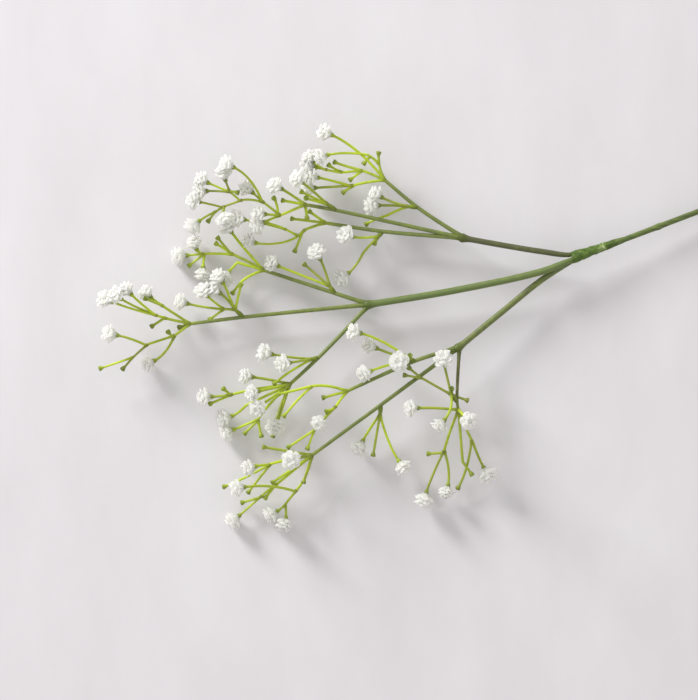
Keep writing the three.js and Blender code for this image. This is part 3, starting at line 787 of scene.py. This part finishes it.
def finish_run(branch, run, bare):
    """Skins a whole run, which flares out of the fork that it grew from and ends in a cup."""
    along = distances(run.line)
    neck = along[-1] - CUP_LENGTH
    line = [point for point, distance in zip(run.line, along) if distance < neck + CUP_LAP]
    along = along[:len(line)]
    radii = np.interp(along, *zip(*run.stations))
    root = np.exp(-np.maximum(along - ROOT_SINK, 0) / FLARE_LENGTH)
    growth = np.interp(along, [0, neck / 2, neck], [TWIG_ROOT_GROWTH, TWIG_MIDDLE_GROWTH, NECK_GROWTH])
    rings = rings_along(line, radii * (1 + ROOT_FLARE * root), TWIG_SIDES)
    branch.skin(rings, growth, run.tone, TWIG_ROOT_KNOT * root)
    add_cup(branch, run.line[-1], directions(run.line)[-1], bare, run.tone, run.cup_knot)


def grow_twig(twig, run, depth, branch, seats):
    """Adds a twig to its run, with all that it carries. Seated florets go to seats."""
    start = run.line[-1]
    direction = end_direction(start, twig)
    pull = twig.end - direction * SPRING * (twig.end - start).length
    run.grow(pull, twig.end, twig_radius(depth))
    if twig.kind == "fork":
        onward, *others = twig.twigs
        grow_twig(onward, run, depth + 1, branch, seats)
        for other in others:
            side_run = Run(twig.end, direction, depth + 1, len(branch.points), run.dullness)
            grow_twig(other, side_run, depth + 1, branch, seats)
        return
    finish_run(branch, run, twig.kind == "cup")
    if twig.kind == "floret":
        seats.append((twig.end, direction))


def add_stalk(branch, name, layout):
    """Skins a branch's stalk, from deep in the tape to the knob at its fork, and gives its last direction."""
    line = spline([*branch_root(name), *layout.stalk], 1.5)
    along = distances(line)
    radius = STALK_RADII[name]
    radii = np.interp(along, [SOCKET_DEPTH, SOCKET_DEPTH + STALK_SWELL], [STALK_ROOT_RADIUS, radius])
    knob = np.exp(-((along[-1] - along - KNOB_SETBACK) / KNOB_LENGTH) ** 2)
    radii = radii + (FORK_RADIUS - radius) * knob
    radii[-1] *= STALK_END
    rubbed = np.exp(-np.maximum(along - SOCKET_DEPTH, 0) / RUBBED_LENGTH)
    branch.skin(rings_along(line, radii, STEM_SIDES), STALK_GROWTHS[name], STALK_TONES[name],
                KNOB_KNOT * knob + RUBBED_KNOT * rubbed)
    return directions(line)[-1]


def add_prong(branch, prong, fork_point, stalk_end, seats):
    """Skins a prong and the stub of its side spray, and grows all the twigs of both its sprays."""
    line = spline([fork_point - stalk_end * 2 * ROOT_SINK, prong.side_root, prong.tip], 1.0)
    along = distances(line)
    root = np.exp(-np.maximum(along - 2 * ROOT_SINK, 0) / PRONG_FLARE_LENGTH)
    radii = np.interp(along, [0, along[-1]], [prong.radius, prong.radius * PRONG_TAPER])
    growth = np.interp(along[-1] - along, [0, GREENING], [PRONG_TIP_GROWTH, PRONG_GROWTH])
    rings = rings_along(line, radii * (1 + PRONG_FLARE * root), STEM_SIDES)
    branch.skin(rings, growth, prong.tone, PRONG_ROOT_KNOT * root)
    tip_direction = directions(line)[-1]
    stub = spline([prong.side_root, prong.side_root.lerp(prong.side.end, 0.5), prong.side.end], 0.5)
    stub_share = distances(stub) / distances(stub)[-1]
    stub_radii = np.interp(
        stub_share, [0, STUB_WIDEST, 1], [STUB_RADIUS * STUB_ROOT, STUB_RADIUS, TWIG_RADII[0]])
    stub_knots = np.interp(stub_share, [0, 1], [PRONG_ROOT_KNOT, STUB_END_KNOT])
    branch.skin(rings_along(stub, stub_radii, TWIG_SIDES), STUB_GROWTH, STUB_TONE, stub_knots)
    dullness = TWIG_DULLING * prong.tone
    for twig in prong.side.twigs:
        run = Run(prong.side.end, directions(stub)[-1], 1, len(branch.points), dullness)
        grow_twig(twig, run, 1, branch, seats)
    for twig in prong.end:
        grow_twig(twig, Run(prong.tip, tip_direction, 0, len(branch.points), dullness), 0, branch, seats)


def make_branch(name, layout, material, seats):
    branch = Moulding()
    stalk_end = add_stalk(branch, name, layout)
    for prong in layout.prongs:
        add_prong(branch, prong, layout.stalk[-1], stalk_end, seats)
    piece = branch.piece("moulded_branch_" + name, material, ("growth", "tone", "knot"))
    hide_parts("branch_" + name)


# ---- Tape binding and main stem ----------------------------------------------

tape_axis = (TAPE_START - TAPE_END).normalized()
tape_length = (TAPE_START - TAPE_END).length
tape_side = tape_axis.cross(Vector((0, 0, 1))).normalized()
tape_over = tape_side.cross(tape_axis)


def branch_root(name):
    """Where a branch lies deep in the tape, and where it comes out of the tape's mouth."""
    radians = math.radians(ROOT_ANGLES[name])
    spoke = tape_side * math.cos(radians) + tape_over * math.sin(radians)
    return TAPE_END + tape_axis * SOCKET_DEPTH + spoke * ROOT_CIRCLE, TAPE_END + spoke * MOUTH_CIRCLE


def bundle_radius(angles, share):
    """The outline of what the tape is wound on, from the three stalks at share 0 to the main stem at 1."""
    circle = lerp(MOUTH_CIRCLE, ROOT_CIRCLE, smooth(share / BUNDLE_MOUTH))
    corners = [circle * np.cos(angles - math.radians(angle)) for angle in ROOT_ANGLES.values()]
    stalks = np.log(np.sum(np.exp(BUNDLE_WEB * np.array(corners)), axis=0)) / BUNDLE_WEB + STALK_ROOT_RADIUS
    return lerp(stalks, STEM_RADIUS, smooth(share / BUNDLE_END))


def crumple(angles, step, pace, seed=0):
    """Smooth noise round the tape, at this step along it."""
    along, around = pace
    return np.array([
        noise.noise(Vector((step * along, around * math.cos(a), around * math.sin(a) + seed)))
        for a in angles])


def make_tape(material):
    """Crepe tape wound in slanting, overlapping turns from the branches' mouth down onto the main stem. Its
    mouth is ragged, and its last turn thins out on the stem."""
    angles = np.arange(TAPE_SIDES) * 2 * math.pi / TAPE_SIDES
    spokes = np.outer(np.cos(angles), tape_side) + np.outer(np.sin(angles), tape_over)
    ragged = np.array([noise.noise(Vector((3 * math.cos(a), 3 * math.sin(a), 2))) for a in angles])
    steps = np.arange(0, tape_length + 0.01, TAPE_ROW)
    rings = []
    shading_rows = []
    for step in steps:
        share = step / tape_length
        slant = TAPE_SLANT * np.cos(angles - 1) + TAPE_WANDER * noise.noise(Vector((share * 5, 3, 0)))
        turn = (share**TAPE_CROWDING * TAPE_TURNS + angles / (2 * math.pi) + slant) % 1
        edge = np.minimum(turn / TAPE_EDGE_WIDTH, 1) * (1 - turn) ** TAPE_EDGE_FALL
        wrinkles = crumple(angles, step, WRINKLE_PACE)
        fine = crumple(angles, step, CREPE_PACE, seed=9)
        ends = min(1, MOUTH_FILM + step / THIN_MOUTH, FOOT_FILM + (tape_length - step) / THIN_FOOT)
        film = TAPE_FILM + TAPE_EDGE * edge + TAPE_WRINKLE * wrinkles + TAPE_CREPE * fine
        radii = bundle_radius(angles, share) + film * ends
        centre = np.array(TAPE_END + tape_axis * step)
        set_back = max(0, 1 - step / RAGGED_LENGTH) * RAGGED_MOUTH * ragged
        rings.append(centre + spokes * radii.reshape(-1, 1) + np.outer(set_back, tape_axis))
        # Painted highlight: a pale spot on the tape's upper side only, where the light catches it.
        painted_highlight = HIGHLIGHT_STRENGTH * np.exp(-((step - HIGHLIGHT_PLACE) / HIGHLIGHT_LENGTH) ** 2) * np.clip(np.sin(angles), 0, 1)
        # Painted light and shade: lighter where the tape stands higher, on its turns' edges and its wrinkles'
        # and crepe's crests, darker in the folds between.
        shading_rows.append(EDGE_HIGHLIGHT * edge + SHADING_LEVEL + WRINKLE_LIGHT_AND_SHADE * wrinkles * edge
                     + CREPE_LIGHT_AND_SHADE * fine + painted_highlight)
    mouth = spokes * bundle_radius(angles, 0).reshape(-1, 1) * MOUTH_FIT
    inner = [np.array(TAPE_END + tape_axis * depth) + mouth for depth in MOUTH_DEPTHS]
    foot = [np.array(TAPE_START + tape_axis * FOOT_OVERRUN) + spokes * (STEM_RADIUS - FOOT_SINK)]
    tape = Moulding()
    shares = np.clip(np.concatenate([[0, 0], steps, [tape_length]]) / tape_length, 0, 1)
    greying = np.clip((shares - GREYING_START) / (1 - GREYING_START), 0, 1)
    tape.skin(np.array(inner + rings + foot), 0.0, greying)
    tape.marks[0][:, 0] = np.concatenate([np.zeros(2 * TAPE_SIDES), *shading_rows, np.zeros(TAPE_SIDES)])
    piece = tape.piece("crepe_tape_binding", material, ("painted_light_and_shade", "greying"))
    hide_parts("tape_binding")


def make_main_stem(material):
    """The coated stem: its thickness wavers a little, as a dipped coating does, and a run of it has set as a
    small lump."""
    line = spline([TAPE_START - tape_axis * SOCKET_DEPTH, TAPE_START, *MAIN_STEM_ROUTE], 1.2)
    along = distances(line)
    radii = np.full(len(along), STEM_RADIUS)
    for share, pace, seed in COAT_WAVERS:
        waver = np.array([noise.noise(Vector((distance * pace, seed, 0))) for distance in along])
        radii += STEM_RADIUS * share * waver
    radii += LUMP_HEIGHT * np.exp(-((along - SOCKET_DEPTH - LUMP_PLACE) / LUMP_LENGTH) ** 2)
    stain = np.interp(along, [SOCKET_DEPTH, SOCKET_DEPTH + STAIN_LENGTH], [1, 0])
    stem = Moulding()
    stem.skin(rings_along(line, radii, STEM_SIDES), stain)
    piece = stem.piece("coated_main_stem", material, ("stain",))
    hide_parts("main_stem")


# ---- Florets -----------------------------------------------------------------

PetalLayer = namedtuple("PetalLayer", "radius lift rise dip slit ruffle turn")
PETAL_LAYERS = (
    PetalLayer(4.9, 0.3, 0.2, 1.2, 0.6, 0.45, 0.0),
    PetalLayer(4.5, 1.5, 1.2, 1.7, 0.6, 0.5, 0.65),
    PetalLayer(3.0, 1.6, 2.4, 1.9, 0.6, 0.35, 0.2),
)

# Profiles along a floret's axis, as distances and radii: the closed petals in its heart, and its funnel.
BUD = ((-1.2, 1.2), (0.8, 1.6), (2.0, 1.9), (2.7, 1.6), (3.2, 1.0), (3.4, 0.3))
CALYX = ((0.0, 0.5), (0.2, 0.8), (0.6, 1.05), (1.0, 1.5), (1.35, 2.2), (1.5, 2.4), (1.8, 2.3))
BUD_OUTWARD = 0.6  # places on the petal material's ramp
CALYX_OUTWARD = 0.2
PETAL_ROWS = (0.05, 0.3, 0.5, 0.68, 0.82, 0.93, 1.0)
PETAL_LIP = 0.45  # how thick a petal's rounded edge is, as a share of its film
LIP_START = 0.9  # the share of a petal's reach at which that edge starts
PETAL_KEEL = 3.2  # how much thicker a petal is at its heart than at its edge
PETAL_REACHES = (0.8, 1.16)  # the shortest and the longest petal, as shares of the layer's radius
PETAL_ARCH = 1.9  # how far a petal arches over on its way out, in radians
PETAL_SAGS = (0.55, 0.7)  # the lift that every petal has, and what the liveliest adds
FEWEST_RUFFLES = 4
MORE_RUFFLES = 3
PETAL_SKEW = 0.05  # how far the petals swing out of their even places, in radians


def petal_layer(layer, n, kind):
    """One ruffled ring of rounded petals, both of its faces, with the floret's axis along Y."""
    angles = np.arange(PETALS * PETAL_POINTS) * 2 * math.pi / (PETALS * PETAL_POINTS)
    turns = angles * PETALS / (2 * math.pi) + 0.5
    petal = np.floor(turns).astype(int) % PETALS
    across = 2 * (turns % 1) - 1
    lobe = (1 - across**2) ** 0.5
    vary = np.array([draw(n * 31 + kind * 7 + p, 4) for p in range(PETALS)])[petal]
    sag = np.array([draw(n * 31 + kind * 7 + p, 5) for p in range(PETALS)])[petal]
    reach = layer.radius * (layer.slit + (1 - layer.slit) * lobe * lerp(*PETAL_REACHES, vary))
    waves = FEWEST_RUFFLES + int(MORE_RUFFLES * draw(n, kind + 6))
    phase = 2 * math.pi * draw(n, kind + 9)
    rows = []
    outward = []
    for face, shares in ((1, PETAL_ROWS), (-1, PETAL_ROWS[::-1])):
        for share in shares:
            out = reach * share
            lift = layer.lift * math.sin(share * PETAL_ARCH) * (PETAL_SAGS[0] + PETAL_SAGS[1] * sag * lobe)
            ruffle = layer.ruffle * share**2 * np.sin(waves * angles + phase)
            film = PETAL_FILM * (1 if share < LIP_START else PETAL_LIP)
            keel = 0 if face > 0 else PETAL_KEEL * (1 - share)
            height = layer.rise + lift + ruffle - layer.dip * (1 - share) ** 3 + face * film / 2 - keel
            heading = angles + layer.turn + PETAL_SKEW * np.sin(3 * angles + phase)
            rows.append(np.stack([np.sin(heading) * out, height, np.cos(heading) * out], axis=-1))
            outward.append(share)
    return np.array(rows), np.array(outward)


def floret_middle(seat, direction, size):
    """The middle of the outer petals of a floret that is pressed onto the cup at the seat."""
    return seat + direction * (FLORET_GAP + FLORET_THROAT * size)


def add_floret(piece, seat, direction, n):
    """Adds the nth floret: its petal layers, its bud and its funnel, facing along the direction."""
    size = 1 + FLORET_SIZE_SPREAD * (2 * draw(n, 1) - 1)
    turn = draw(n, 2) * 2 * math.pi
    middle = floret_middle(seat, direction, size)
    face = Vector((0, 1, 0)).rotation_difference(direction) @ Quaternion((0, 1, 0), turn)
    matrix = np.array(face.to_matrix())
    for kind, layer in enumerate(PETAL_LAYERS):
        rings, outward = petal_layer(layer, n, kind)
        piece.skin(rings * size @ matrix.T + np.array(middle), outward)
    piece.skin(turned(middle, direction, BUD, FLORET_SIDES), BUD_OUTWARD)
    piece.skin(turned(seat, direction, CALYX, FLORET_SIDES), CALYX_OUTWARD)


def group_of(point, corners):
    """The group of florets that has a corner nearest to the point."""
    def nearness(name):
        return float(np.min(np.sum((corners[name] - np.array(point)) ** 2, axis=1)))
    return min(corners, key=nearness)


def make_florets(seats, material):
    """One piece for each group of florets that touch each other."""
    corners = {}
    for name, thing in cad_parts.items():
        if name.startswith("floret"):
            corners[name] = np.array([v.co for v in thing.data.vertices]) / MM
    pieces = {name: Moulding() for name in sorted(corners)}
    for n, (seat, direction) in enumerate(seats):
        group = group_of(floret_middle(seat, direction, 1), corners)
        add_floret(pieces[group], seat, direction, n)
    for name, petals in pieces.items():
        piece = petals.piece("ruffled_" + name, material, ("outward",), crease=60)
        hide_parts(name)


# ---- The table, the lights and the camera ------------------------------------

VIEW_ACROSS = 174.5  # the middle of the view, and its width, on the sheet
VIEW_DOWN = 175
VIEW_WIDTH = 349
VIEW_HEIGHT = 20  # the height above the table at which the view has that width
LENS = 250
SENSOR = 36
LIGHT_HEADING = (-0.7, 0.71)  # towards the key light, which comes from the far left
LIGHT_ELEVATION = 20
LIGHT_DISTANCE = 2.4  # metres, as is the softbox's width
SOFTBOX_WIDTH = 0.75
SOFTBOX_POWER = 57
ROOM_BRIGHTNESS = 0.75
TABLE_HALF = 3.0  # metres
TABLE_GAP = 0.0002  # the table's paint lies this far below the lowest petals


def make_table():
    corners = [(-TABLE_HALF, -TABLE_HALF, 0), (TABLE_HALF, -TABLE_HALF, 0), (TABLE_HALF, TABLE_HALF, 0),
               (-TABLE_HALF, TABLE_HALF, 0)]
    mesh = bpy.data.meshes.new("painted_table")
    mesh.from_pydata(corners, [], [(0, 1, 2, 3)])
    mesh.materials.append(painted_table())
    table = bpy.data.objects.new("painted_table", mesh)
    table.location.z = -TABLE_GAP
    bpy.context.scene.collection.objects.link(table)


def light_table(middle):
    """One low softbox from the far left, and a pale room."""
    elevation = math.radians(LIGHT_ELEVATION)
    level = Vector((*LIGHT_HEADING, 0)).normalized() * math.cos(elevation)
    offset = (level + Vector((0, 0, math.sin(elevation)))) * LIGHT_DISTANCE
    light = bpy.data.lights.new("key_softbox", "AREA")
    light.shape = "DISK"
    light.size = SOFTBOX_WIDTH
    light.energy = SOFTBOX_POWER
    light.color = linear("#fcfcff")[:3]
    lamp = bpy.data.objects.new("key_softbox", light)
    lamp.location = middle + offset
    lamp.rotation_mode = "QUATERNION"
    lamp.rotation_quaternion = (-offset).to_track_quat("-Z", "Y")
    bpy.context.scene.collection.objects.link(lamp)
    world = bpy.data.worlds.new("pale_room")
    world.use_nodes = True
    backdrop = world.node_tree.nodes["Background"]
    backdrop.inputs["Color"].default_value = linear("#f7f5f6")
    backdrop.inputs["Strength"].default_value = ROOM_BRIGHTNESS
    bpy.context.scene.world = world


def look_down(middle):
    """A long lens straight above the table."""
    camera = bpy.data.cameras.new("overhead_camera")
    camera.lens = LENS
    camera.sensor_fit = "HORIZONTAL"
    camera.sensor_width = SENSOR
    camera.clip_end = 50
    stand = bpy.data.objects.new("overhead_camera", camera)
    stand.location = middle + Vector((0, 0, VIEW_WIDTH * MM * LENS / SENSOR))
    bpy.context.scene.collection.objects.link(stand)
    bpy.context.scene.camera = stand
    bpy.context.scene.view_settings.view_transform = "Standard"


# ---- The whole stem ----------------------------------------------------------

seats = []
polyethylene = moulded_polyethylene()
for branch_name, branch_layout in BRANCHES.items():
    make_branch(branch_name, branch_layout, polyethylene, seats)
make_florets(seats, white_petal_film())
make_tape(crepe_tape())
make_main_stem(coated_stem())
make_table()
view_middle = place(VIEW_ACROSS, VIEW_DOWN, VIEW_HEIGHT) * MM
light_table(view_middle)
look_down(view_middle)
